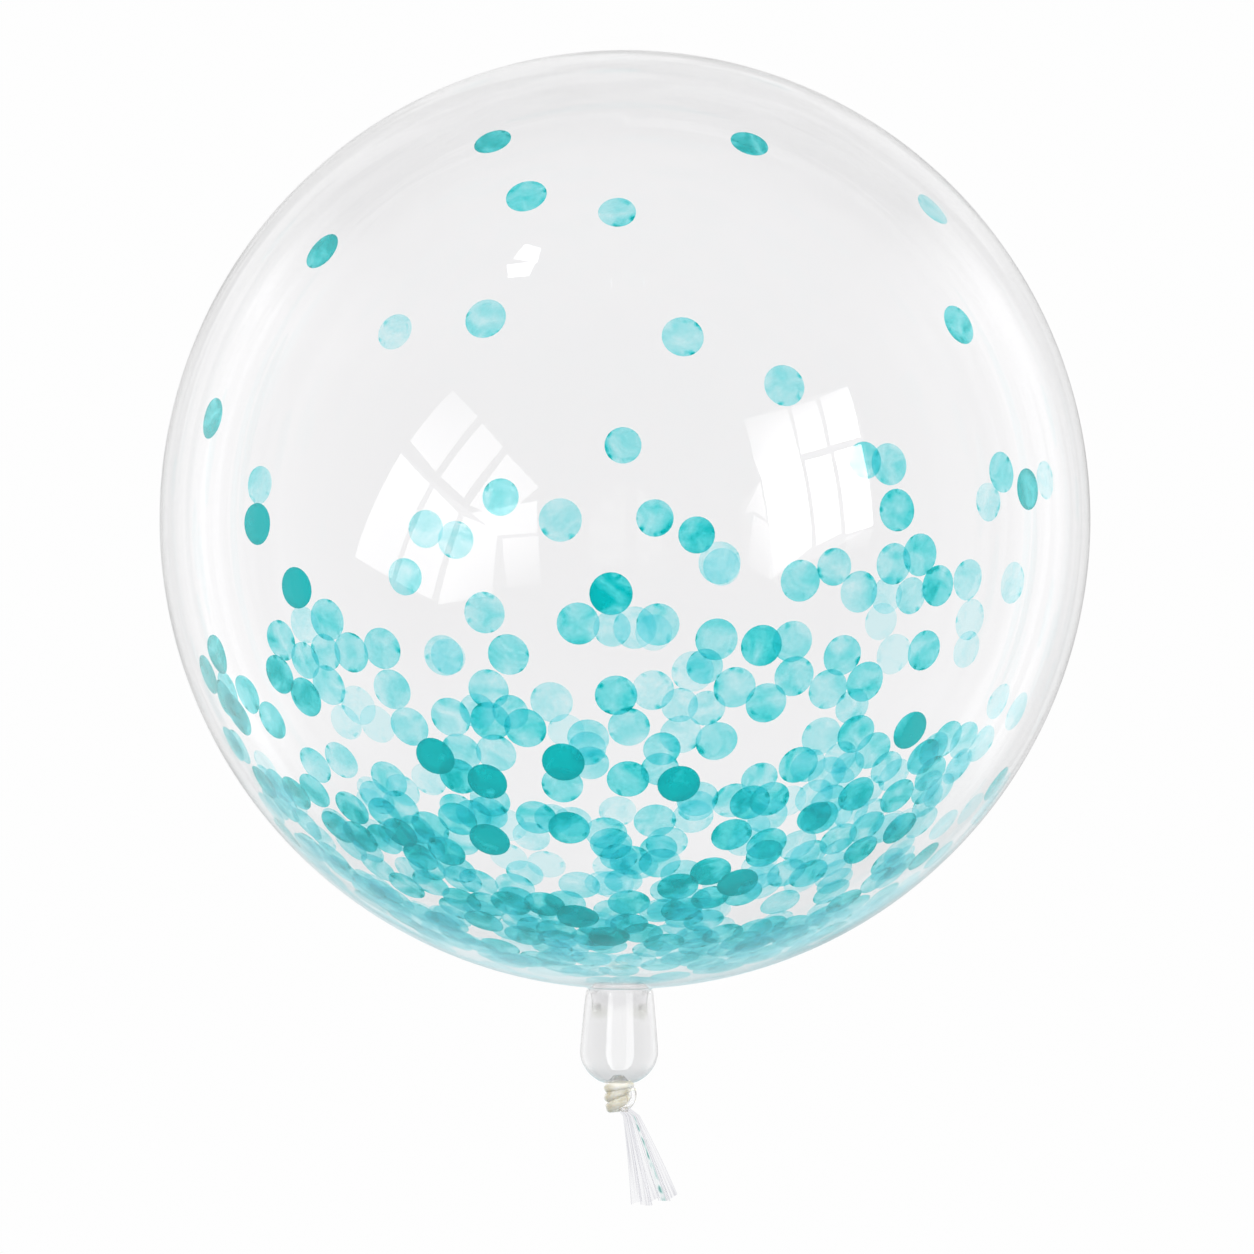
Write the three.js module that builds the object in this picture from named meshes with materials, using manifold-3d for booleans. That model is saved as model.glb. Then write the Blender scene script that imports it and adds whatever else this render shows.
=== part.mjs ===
// Clear bubble balloon, lying on its side: a see-through film ball with a short mouth, a bell-shaped
// neck sleeve over the mouth, a rubber cord knotted round the gathered sleeve, and the pleated film
// tail that spreads out below the knot.
//
// Millimetres, +Z up. The origin is the centre of the flat spot that the ball rests on. The balloon's
// long axis lies along Y: the crown points to +Y, the neck and its tail to -Y.
//
// The tied balloon is sealed, so the ball and the sleeve are solid bodies of their true outer shape.

import * as THREE from "three";
import { mergeVertices } from "three/addons/utils/BufferGeometryUtils.js";
import Module from "manifold-3d";

// Ball
const BALL_WIDTH = 460;
const BALL_LENGTH = 464; // from the crown to the neck end
const REST_SPOT_WIDTH = 48; // the flat where the ball touches the ground

// Mouth: the ball's own short collar, which flares out where it leaves the ball
const MOUTH_WIDTH = 27.4;
const MOUTH_LENGTH = 15;
const MOUTH_FLARE = 2; // how much wider each side is at the ball
const MOUTH_FLARE_LENGTH = 8;

// Neck sleeve
const SLEEVE_RIM = 0.45; // how far its top edge stands out past its socket
const SLEEVE_BELL = 2.8; // how much wider each side is at its shoulder than at its top
const SLEEVE_SHOULDER = 31; // from the ball to its widest place
const SLEEVE_ROUND = 17.2; // from its shoulder to its far end
const SLEEVE_PUCKER = 3.4; // how far the end is drawn in round the stem
const SLEEVE_PUCKER_WIDTH = 10;
const NECK_LEAN_DEG = 0.65; // the neck sits a little off the ball's axis
const FIT_GAP = 0.35; // between pieces that lie against each other

// Stem: the gathered film that runs through the knot
const STEM_WIDTH = 4;
const STEM_BEND = 3; // how far it has moved sideways where the tail begins

// Knotted cord
const CORD_WIDTH = 4.4;
const CORD_TURN_GAP = 0.45; // between one turn and the next
const CORD_SLANT = 0.5; // how much steeper the strands on top are than the turns on average
const CORD_START_DEG = 70; // where the first turn begins, counted from the right side
const CORD_END_DEG = 865;
const CORD_BULGE = 1.2; // how far the loops on the right side stand off the stem

// Tail
const TAIL_TUCK = 3.4; // how much of it the knot's last turn covers
const TAIL_LENGTH = 49;
const TAIL_UNEVEN = 1.5; // how much shorter its shortest end is
const TAIL_GATHER = 4; // width where it leaves the knot
const TAIL_FIRST_DEG = 6; // the fan's two edges, measured from the neck's axis
const TAIL_LAST_DEG = 27;
const TAIL_PLEATS = 4;
const TAIL_GATHER_DEPTH = 0.9; // each pleat's rise at the knot, up or down
const TAIL_END_DEPTH = 2.1;
const TAIL_THICKNESS = 0.8; // layers of crinkled film pressed together

// Fineness of the faces
const BALL_SIDES = 72;
const BALL_RINGS = 36;
const NECK_SIDES = 36;
const SLEEVE_END_RINGS = 12;
const SLEEVE_SIDE_RINGS = 6;
const MOUTH_RINGS = 6;
const STEM_SIDES = 10;
const STEM_STEPS = 12;
const CORD_SIDES = 12;
const CORD_STEPS = 60;
const TAIL_COLUMNS = 8;
const TAIL_ROWS = 6;

const ballRadius = BALL_WIDTH / 2;
const ballHalfLength = BALL_LENGTH / 2;
const restHeight = Math.sqrt(ballRadius ** 2 - (REST_SPOT_WIDTH / 2) ** 2);
const mouthRadius = MOUTH_WIDTH / 2;
const sleeveTopRadius = mouthRadius + MOUTH_FLARE + FIT_GAP + SLEEVE_RIM;
const sleeveRadius = sleeveTopRadius + SLEEVE_BELL;
const stemRadius = STEM_WIDTH / 2;
const cordRadius = CORD_WIDTH / 2;
const turnRadius = stemRadius + FIT_GAP + cordRadius;
const turnPitch = CORD_WIDTH + CORD_TURN_GAP;

const { clamp, degToRad, lerp, smoothstep } = THREE.MathUtils;
const wasm = await Module();
wasm.setup();

// A closed mesh's geometry as a solid that can be joined and cut.
function solidFrom(geometry) {
  const bare = geometry.clone();
  bare.deleteAttribute("normal");
  bare.deleteAttribute("uv");
  const merged = mergeVertices(bare, 1e-3);
  return new wasm.Manifold(
    new wasm.Mesh({
      numProp: 3,
      vertProperties: merged.attributes.position.array,
      triVerts: new Uint32Array(merged.index.array),
    }),
  );
}

// The solid's geometry, with flat-shaded faces.
function geometryFrom(solid) {
  const mesh = solid.getMesh();
  const geometry = new THREE.BufferGeometry();
  geometry.setAttribute("position", new THREE.BufferAttribute(mesh.vertProperties, 3));
  geometry.setIndex(new THREE.BufferAttribute(mesh.triVerts, 1));
  const flat = geometry.toNonIndexed();
  flat.computeVertexNormals();
  return flat;
}

// A turned solid about the long axis. Its points run from the far end towards the crown.
function turned(points, sides) {
  return solidFrom(new THREE.LatheGeometry(points, sides));
}

// A solid rod of one width along a smooth line through the points.
function roundRod(points, radius, sides, steps) {
  const section = new THREE.Shape().absarc(0, 0, radius, 0, 2 * Math.PI);
  const extrudePath = new THREE.CatmullRomCurve3(points);
  return solidFrom(
    new THREE.ExtrudeGeometry(section, { steps, curveSegments: sides / 2, extrudePath }),
  );
}

// A thin closed slab about the surface pointAt(across, along), both from 0 to 1, thick along Z.
function slab(pointAt, columns, rows, thickness) {
  const vertices = [];
  for (const side of [1, -1]) {
    for (let j = 0; j <= rows; j++) {
      for (let i = 0; i <= columns; i++) {
        const p = pointAt(i / columns, j / rows);
        vertices.push(p.x, p.y, p.z + (side * thickness) / 2);
      }
    }
  }
  const layer = (rows + 1) * (columns + 1);
  const top = (j, i) => j * (columns + 1) + i;
  const under = (j, i) => layer + top(j, i);
  const faces = [];
  const quad = (a, b, c, d) => faces.push(a, b, c, a, c, d);
  for (let j = 0; j < rows; j++) {
    for (let i = 0; i < columns; i++) {
      quad(top(j, i), top(j + 1, i), top(j + 1, i + 1), top(j, i + 1));
      quad(under(j, i), under(j, i + 1), under(j + 1, i + 1), under(j + 1, i));
    }
    quad(top(j, 0), under(j, 0), under(j + 1, 0), top(j + 1, 0));
    quad(top(j, columns), top(j + 1, columns), under(j + 1, columns), under(j, columns));
  }
  for (let i = 0; i < columns; i++) {
    quad(top(0, i), top(0, i + 1), under(0, i + 1), under(0, i));
    quad(top(rows, i), under(rows, i), under(rows, i + 1), top(rows, i + 1));
  }
  const geometry = new THREE.BufferGeometry();
  geometry.setAttribute("position", new THREE.Float32BufferAttribute(vertices, 3));
  geometry.setIndex(faces);
  return solidFrom(geometry);
}

// The neck and all that is on it lean together about the ball's centre.
function leaned(solid) {
  return solid.rotate([0, 0, -NECK_LEAN_DEG]);
}

// Neck shapes are drawn by radius and drop, the distance from the ball's neck end along the neck.
function profilePoint(radius, drop) {
  return new THREE.Vector2(radius, -ballHalfLength - drop);
}

// The drop of the ball's own surface at a radius, a little less than nothing beside the axis.
function ballDropAt(radius) {
  return ballHalfLength * (Math.sqrt(1 - (radius / ballRadius) ** 2) - 1);
}

function mouthRadiusAt(drop) {
  const share = clamp(1 - drop / MOUTH_FLARE_LENGTH, 0, 1);
  return mouthRadius + MOUTH_FLARE * share * share;
}

// Profile of the mouth's outside, or of a socket round it, from its end up to a drop.
function mouthProfile(gap, topDrop) {
  const points = [profilePoint(0, MOUTH_LENGTH + gap)];
  for (let i = 0; i <= MOUTH_RINGS; i++) {
    const drop = lerp(MOUTH_LENGTH + gap, topDrop, i / MOUTH_RINGS);
    points.push(profilePoint(mouthRadiusAt(drop) + gap, drop));
  }
  return points;
}

function ballSolid() {
  const points = [];
  for (let i = 0; i <= BALL_RINGS; i++) {
    const angle = Math.PI * (i / BALL_RINGS - 0.5);
    const radius = i === 0 || i === BALL_RINGS ? 0 : ballRadius * Math.cos(angle);
    points.push(new THREE.Vector2(radius, ballHalfLength * Math.sin(angle)));
  }
  const root = -MOUTH_FLARE_LENGTH; // where the mouth ends, inside the ball
  const mouth = turned(
    [...mouthProfile(0, 0), profilePoint(mouthRadiusAt(0), root), profilePoint(0, root)],
    NECK_SIDES,
  );
  const ground = new THREE.BoxGeometry(BALL_WIDTH, BALL_LENGTH, BALL_WIDTH);
  ground.translate(0, 0, -restHeight - BALL_WIDTH / 2);
  return turned(points, BALL_SIDES).add(leaned(mouth)).subtract(solidFrom(ground));
}

// The drop of the sleeve's round end, drawn in round the stem, at a radius.
function sleeveEndDropAt(radius) {
  const round = SLEEVE_ROUND * Math.sqrt(Math.max(0, 1 - (radius / sleeveRadius) ** 2));
  const fromStem = (2 * radius) / SLEEVE_PUCKER_WIDTH;
  return SLEEVE_SHOULDER + round - SLEEVE_PUCKER * Math.exp(-fromStem * fromStem);
}

// Outside of the sleeve from its gathered end up to its top edge, below the ball.
function sleeveOutside(topDrop) {
  const points = [];
  for (let i = 0; i <= SLEEVE_END_RINGS; i++) {
    const radius = sleeveRadius * Math.sin(((Math.PI / 2) * i) / SLEEVE_END_RINGS);
    points.push(profilePoint(radius, sleeveEndDropAt(radius)));
  }
  const side = new THREE.QuadraticBezierCurve(
    profilePoint(sleeveRadius, SLEEVE_SHOULDER),
    profilePoint(lerp(sleeveTopRadius, sleeveRadius, 0.7), SLEEVE_SHOULDER * 0.6),
    profilePoint(sleeveTopRadius, topDrop),
  );
  return points.concat(side.getPoints(SLEEVE_SIDE_RINGS).slice(1));
}

function sleeveSolid() {
  const topDrop = ballDropAt(sleeveTopRadius) + 2 * FIT_GAP;
  const socketTop = topDrop - 1; // past the top edge, so that the socket is open there
  const outside = sleeveOutside(topDrop);
  const socket = mouthProfile(FIT_GAP, socketTop);
  return turned([...outside, profilePoint(0, topDrop)], NECK_SIDES).subtract(
    turned([...socket, profilePoint(0, socketTop)], NECK_SIDES),
  );
}

// Drop of the first turn's middle line, where the cord lies against the sleeve's end.
function firstTurnDrop() {
  let deepest = 0;
  for (const radius of [turnRadius - cordRadius, turnRadius, turnRadius + cordRadius]) {
    deepest = Math.max(deepest, sleeveEndDropAt(radius));
  }
  return deepest + FIT_GAP + cordRadius;
}

// Drop of the cord's middle line at an angle round the stem. It falls faster on the upper side.
function cordDropAt(angle) {
  const start = degToRad(CORD_START_DEG);
  const slant = CORD_SLANT * (Math.cos(start) - Math.cos(angle));
  return firstTurnDrop() + (turnPitch * (angle - start + slant)) / (2 * Math.PI);
}

const knotEnd = cordDropAt(degToRad(CORD_END_DEG)) + cordRadius;
const tailStart = knotEnd - TAIL_TUCK;

// Sideways place of the stem's middle line: first on the neck's axis, then over to the right.
function stemAside(drop) {
  return STEM_BEND * smoothstep(drop, firstTurnDrop(), knotEnd);
}

function stemSolid() {
  const top = SLEEVE_SHOULDER + SLEEVE_ROUND - 2 * SLEEVE_PUCKER; // buried in the sleeve's end
  const points = [];
  for (let i = 0; i <= STEM_STEPS; i++) {
    const drop = lerp(top, tailStart + stemRadius, i / STEM_STEPS);
    points.push(new THREE.Vector3(stemAside(drop), -ballHalfLength - drop, 0));
  }
  return roundRod(points, stemRadius, STEM_SIDES, STEM_STEPS);
}

// A point of the tail's pleated middle surface, across the fan and along it.
function tailPoint(across, along) {
  const angle = degToRad(lerp(TAIL_FIRST_DEG, TAIL_LAST_DEG, across));
  const reach = (TAIL_LENGTH - TAIL_UNEVEN * Math.sin(3 * Math.PI * across) ** 2) * along;
  const fold = 2 * Math.abs(((across * TAIL_PLEATS) % 2) - 1) - 1;
  return new THREE.Vector3(
    stemAside(tailStart) + (across - 0.5) * TAIL_GATHER + reach * Math.sin(angle),
    -ballHalfLength - tailStart - reach * Math.cos(angle),
    fold * lerp(TAIL_GATHER_DEPTH, TAIL_END_DEPTH, along),
  );
}

// Sleeve, stem and tail are one piece of film.
function neckFilmSolid() {
  const tail = slab(tailPoint, TAIL_COLUMNS, TAIL_ROWS, TAIL_THICKNESS);
  return leaned(sleeveSolid().add(stemSolid()).add(tail));
}

// The cord winds round the stem, close to it but for the loops that stand off on the right.
function cordSolid() {
  const points = [];
  for (let i = 0; i <= CORD_STEPS; i++) {
    const angle = degToRad(lerp(CORD_START_DEG, CORD_END_DEG, i / CORD_STEPS));
    const drop = cordDropAt(angle);
    const radius = turnRadius + CORD_BULGE * Math.max(0, Math.cos(angle)) ** 2;
    points.push(
      new THREE.Vector3(
        stemAside(drop) + radius * Math.cos(angle),
        -ballHalfLength - drop,
        radius * Math.sin(angle),
      ),
    );
  }
  return leaned(roundRod(points, cordRadius, CORD_SIDES, CORD_STEPS));
}

function piece(name, solid, material) {
  const mesh = new THREE.Mesh(geometryFrom(solid), material);
  mesh.name = name;
  return mesh;
}

const clearFilm = new THREE.MeshStandardMaterial({
  color: 0xeef0f2,
  roughness: 0.05,
  metalness: 0,
  transparent: true,
  opacity: 0.3,
});
const ivoryRubber = new THREE.MeshStandardMaterial({
  color: 0xd6d2bf,
  roughness: 0.45,
  metalness: 0,
});

const balloon = new THREE.Group();
balloon.add(
  piece("ball", ballSolid(), clearFilm),
  piece("neck_sleeve_and_tail", neckFilmSolid(), clearFilm),
  piece("tie_cord", cordSolid(), ivoryRubber),
);
balloon.position.z = restHeight;

export default balloon;
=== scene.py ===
"""Clear bubble balloon with teal confetti, lying on a pale floor and seen from straight above.

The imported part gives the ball, the neck film and the tied cord their place and size. Here the ball
and the neck become thin clear film, the cord becomes soft ivory rubber, and the loose confetti that
is sealed in the ball is added.
"""

import math
import random

import bmesh
import bpy
from mathutils import Matrix, Vector, noise


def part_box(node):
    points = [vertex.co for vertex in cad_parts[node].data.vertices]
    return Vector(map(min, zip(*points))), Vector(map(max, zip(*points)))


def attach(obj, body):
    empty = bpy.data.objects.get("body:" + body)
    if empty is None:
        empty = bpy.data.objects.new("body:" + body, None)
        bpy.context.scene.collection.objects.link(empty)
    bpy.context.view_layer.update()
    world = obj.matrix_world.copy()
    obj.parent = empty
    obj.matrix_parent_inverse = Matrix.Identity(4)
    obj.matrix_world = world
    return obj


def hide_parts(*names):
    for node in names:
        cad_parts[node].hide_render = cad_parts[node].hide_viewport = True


MM = 0.001
ON_AXIS = 1e-7  # a smaller radius is none

# Ball film
FILM = 0.25 * MM
BALL_SIDES = 224
BALL_RINGS = 120

# Mouth: the ball's own collar, inside the neck sleeve
MOUTH_RADIUS = 13.7 * MM
MOUTH_LENGTH = 15 * MM
MOUTH_FLARE = 2 * MM
MOUTH_FLARE_LENGTH = 8 * MM
MOUTH_CORNER_RADIUS = 18.5 * MM
MOUTH_CORNER_LENGTH = 3.5 * MM
MOUTH_CORNER_BEND = 0.4 * MM
MOUTH_CORNER_STEPS = 14
MOUTH_STEPS = 12
MOUTH_FADE_START = 6.5 * MM
MOUTH_FADE_END = 12 * MM
NECK_LEAN = math.radians(0.65)
LEAN_FULL = 20 * MM  # radius within which the ball's end leans with the neck
LEAN_START = 60 * MM
FIT_GAP = 0.35 * MM

# Neck sleeve. Drops are distances from the ball's neck end, along the neck.
SLEEVE_TOP_RADIUS = 16.5 * MM
SLEEVE_SHOULDER = 31 * MM
SLEEVE_ROUND = 17.2 * MM
SLEEVE_PUCKER = 6.4 * MM
SLEEVE_PUCKER_RADIUS = 4.4 * MM
SLEEVE_WALL = 0.18 * MM
SLEEVE_INSIDE_END = 2.3 * MM  # radius
RIM_FADE_END = 3.5 * MM
SLEEVE_END_STEPS = 40
SLEEVE_SIDE_STEPS = 24
NECK_SIDES = 120
GATHER_FULL = 4 * MM  # radius
GATHER_END = 13 * MM  # radius
GATHER_HEIGHT = 0.11 * MM

# Stem of gathered film, and the cord round it
STEM_RADIUS = 2 * MM
STEM_FADE = 0.65  # how little the stem's surface shows
STEM_OUTSIDE = 2.1 * MM  # radius
STEM_FOOT = 3.3 * MM  # radius
STEM_BEND = 3 * MM
STEM_BEND_START = 49.1 * MM
STEM_GATHER_START = 36 * MM
STEM_GATHER_END = 45 * MM
STEM_TOP = 40 * MM
STEM_ROUNDING = 0.3 * MM
STEM_STEPS = 16
KNOT_END = 62.5 * MM
CORD_RADIUS = 2.2 * MM
CORD_BULGE = 1.3 * MM
CORD_LAST_BULGE = -2.2 * MM
CORD_START = math.radians(-30)
CORD_END = math.radians(1000)
FIRST_LOBE = 49.4 * MM  # drop of the cord where it first passes on the left
FIRST_TURN_PITCH = 3.1 * MM
TURN_PITCH = 4.7 * MM
TURN_SLANT = 1.4 * MM
CORD_ASIDE = 0.4 * MM
LAST_TURN_ASIDE = 1.4 * MM
CORD_STEPS = 330
CORD_SIDES = 28
CORD_END_STEPS = 8  # steps that each rounded end takes
CORD_LEAST_RADIUS = 0.02 * MM

# Loop of film to the right of the knot
LOOP_ASIDE = 3.7 * MM
LOOP_DROP = 52.6 * MM
LOOP_HALF_WIDTH = 3.7 * MM
LOOP_HALF_LENGTH = 5.2 * MM
LOOP_LIFT = 3.2 * MM
LOOP_TILT = 1.2 * MM
LOOP_START = math.radians(-95)
LOOP_END = math.radians(120)
LOOP_RADIUS = 1.5 * MM
LOOP_STEPS = 60
LOOP_SIDES = 20
LOOP_FADE = 0.45
# Painted shade of the loop's folds, on the same scale as the stem's
LOOP_FOLD_SHADE = 0.2

# Cloudy spots where the mouth is sealed to the sleeve
SEAM_START = 6 * MM
SEAM_END = 16 * MM
SEAM_MIDDLES = [math.radians(40), math.radians(138)]
SEAM_REACH = math.radians(36)
SEAM_RADIUS = 14.5 * MM
SEAM_CRUMPLE = 0.3 * MM
SEAM_FILM = 0.1 * MM
SEAM_ROWS = 24
SEAM_COLUMNS = 30

# Tail
TAIL_TUCK = 3.4 * MM
TAIL_START = KNOT_END - TAIL_TUCK
TAIL_LENGTH = 49 * MM
TAIL_UNEVEN = 1.5 * MM
TAIL_RAGGED = 0.8 * MM
TAIL_FIRST_RIDGE = 0.3 * MM
TAIL_LAST_RIDGE = 0.8 * MM
TAIL_BOW = 0.9 * MM
TAIL_CRINKLE = 0.5 * MM
TAIL_GATHER = 6.4 * MM
TAIL_ASIDE = 2.7 * MM
TAIL_FIRST = math.radians(6.5)
TAIL_LAST = math.radians(26)
TAIL_GATHER_DEPTH = 0.9 * MM
TAIL_END_DEPTH = 2.1 * MM
TAIL_FILM = 0.25 * MM
TAIL_STRIPS = 5
STRIP_COLUMNS = 18
STRIP_ROWS = 70
# The strip that carries the painted teal glint
GLINT_STRIP = 3

# Confetti
DISC_RADIUS = 10 * MM
DISC_THICKNESS = 0.08 * MM
DISC_SIDES = 24
DISC_STACK = 0.18 * MM
DISC_WALL_GAP = 0.4 * MM
DISC_LIFT = 0.2 * MM
DISC_CURL = 0.35 * MM
DISC_BACK_CURL = 0.15 * MM
DISC_MIDDLE_RING = 0.55  # share of the radius
MOST_LAYERS = 9
CROWD_COUNT = 270
CROWD_EDGE = 0.45  # where the crowd of confetti begins, as a share of the way from middle to neck
CROWD_FULL = 0.72
HEAP_EDGE = 0.8  # where the last of it is heaped closest
HEAP_FULL = 0.9
HEAP_END = 0.96
BAND_START = 0.26  # the band with few discs, as shares of the way up or down from the middle
BAND_FULL = 0.32
BAND_LAST = 0.42
BAND_END = 0.5
LAST_DISC = 0.9995
SPACING = 0.7  # of a disc's radius: the least distance between two discs' middles
OVERLAP = 1.9  # of a disc's radius: discs with closer middles are stacked
FAR_WALL_LEAD = 0.07  # how much higher the crowd begins on the far wall

# Camera: straight above, with the photograph's frame
PHOTO_WIDTH = 1254
FRAME_WIDTH = 0.6211  # at the height of the ball's centre
FRAME_X = 0.001
FRAME_Y = -0.053
CAMERA_RISE = 3.31  # above the ball's centre
SENSOR = 36
SIGHT = 20

# Refraction and tints of the films
FILM_IOR = 1.45
BALL_TINT = (0.9945, 0.9925, 0.9965)
NECK_TINT = (0.95, 0.95, 0.953)

# Passes through film that light makes: as mirrored by the near wall, and the most
LAST_NEAR_PASS = 2.5
FILM_PASSES = 24
CLEAR_PASSES = 64

# Room and floor
PALE = 0.99  # brightness of the floor, and of what is seen past its edge
ROOM = 1.2  # brightness of the brightest side of the room, as the film mirrors it
# Shares of that brightness from straight below (0) to straight above (1), to the left and right and
# beyond the crown and the neck
SIDE_LIGHT = [
    (0.0, 0.67), (0.03, 0.77), (0.055, 0.76), (0.09, 0.76), (0.13, 0.84), (0.16, 1.0), (0.2, 1.0),
    (0.225, 0.83), (0.25, 0.83), (0.3, 0.85), (0.345, 0.58), (0.45, 0.5), (0.6, 0.24), (0.75, 0.08),
    (1.0, 0.04),
]
END_LIGHT = [(0.04, 0.84), (0.12, 0.66), (0.24, 0.35), (0.38, 0.34), (0.74, 0.15), (0.93, 0.04)]
NECK_SIDE_TINT = (0.76, 0.92, 0.95, 1)  # what is mirrored towards the neck has the confetti's colour
FLOOR_SIZE = 1.3
FLOOR_SOLID = 0.85
FLOOR_END = 1.1

# Soft light over the neck: its strips run from left to right, each with its brightness
NECK_LIGHT_HEIGHT = 3.1
NECK_LIGHT_NEAR = -8
NECK_LIGHT_FAR = 2.4
NECK_LIGHT_STRIPS = [(-2.5, -1.3, 5.6), (-1.3, 1.3, 3.0), (1.3, 3.2, 4.7)]

# Panes of the two windows, each by the pixels where the ball's near wall mirrors its corners, with
# the brightness at each corner.
WINDOW_DISTANCE = 2.2
LEFT_PANES = [
    [(410, 442, 1), (452, 392, 0.45), (478, 418, 0.6), (436, 472, 1)],
    [(441, 477, 1), (482, 425, 0.8), (503, 448, 0.8), (464, 498, 1)],
    [(470, 505, 1), (507, 455, 0.9), (539, 487, 0.8), (502, 520, 0.9)],
    [(401, 454, 1), (430, 484, 1), (392, 577, 0.8), (355, 556, 0.9)],
    [(434, 488, 1), (459, 513, 1), (432, 598, 0.8), (396, 580, 0.8)],
    [(464, 516, 1), (498, 530, 1), (492, 594, 0.4), (438, 603, 0.9)],
    [(472, 513, 0.9), (537, 501, 0.7), (537, 532, 0.7), (498, 535, 0.9)],
    [(502, 538, 0.9), (538, 535, 0.6), (541, 583, 0.1), (507, 585, 0.2)],
]
LEFT_SHEEN = [
    [(402, 452, 0.3), (470, 512, 0.8), (430, 600, 0.2), (356, 556, 0.1)],
    [(470, 512, 0.8), (537, 501, 0.8), (541, 580, 0.1), (432, 600, 0.3)],
]
RIGHT_PANES = [
    [(744, 421, 0.06), (787, 410, 0.09), (797, 448, 0.4), (754, 462, 0.15)],
    [(754, 462, 0.15), (797, 448, 0.4), (802, 469, 1), (762, 480, 0.6)],
    [(762, 480, 0.6), (802, 469, 1), (812, 546, 0.4), (773, 576, 0.08)],
    [(791, 409, 0.09), (816, 401, 0.12), (827, 448, 0.5), (801, 455, 0.5)],
    [(805, 462, 1), (830, 455, 1), (841, 533, 0.5), (816, 545, 0.3)],
    [(820, 399, 0.1), (848, 388, 0.14), (860, 438, 0.8), (831, 446, 0.6)],
    [(834, 453, 1), (861, 445, 1), (873, 525, 0.5), (846, 534, 0.4)],
    [(760, 482, 0.16), (767, 520, 0.18), (755, 511, 0.12), (744, 514, 0.05)],
    [(754, 515, 0.12), (768, 523, 0.18), (779, 584, 0.04), (747, 563, 0.03)],
    [(846, 537, 0.1), (873, 528, 0.08), (868, 545, 0.02), (846, 552, 0.02)],
]
RIGHT_SHEEN = [
    [(744, 421, 0.2), (848, 388, 0.6), (873, 525, 1), (770, 578, 0.7)],
    [(760, 482, 0.8), (772, 580, 0.5), (742, 565, 0.1), (740, 505, 0.3)],
]
TOP_GLINT = [
    [(512, 262, 0.5), (525, 247, 0.9), (541, 251, 0.6), (537, 266, 1)],
    [(506, 268, 0.8), (535, 265, 1), (529, 279, 1), (508, 281, 0.9)],
]
PANE_STEPS = 8
WINDOWS = [
    ("left_window", LEFT_PANES, 3.8), ("left_sheen", LEFT_SHEEN, 1.6), ("right_window", RIGHT_PANES, 18),
    ("right_sheen", RIGHT_SHEEN, 1.6), ("top_glint", TOP_GLINT, 9),
]

# Lamps, each with its place and power
LAMP_SIZE = 1.2
LAMPS = [("key_light", (-1.2, 0.6, 2.2), 30), ("fill_light", (1.4, -0.4, 1.8), 18)]

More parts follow.
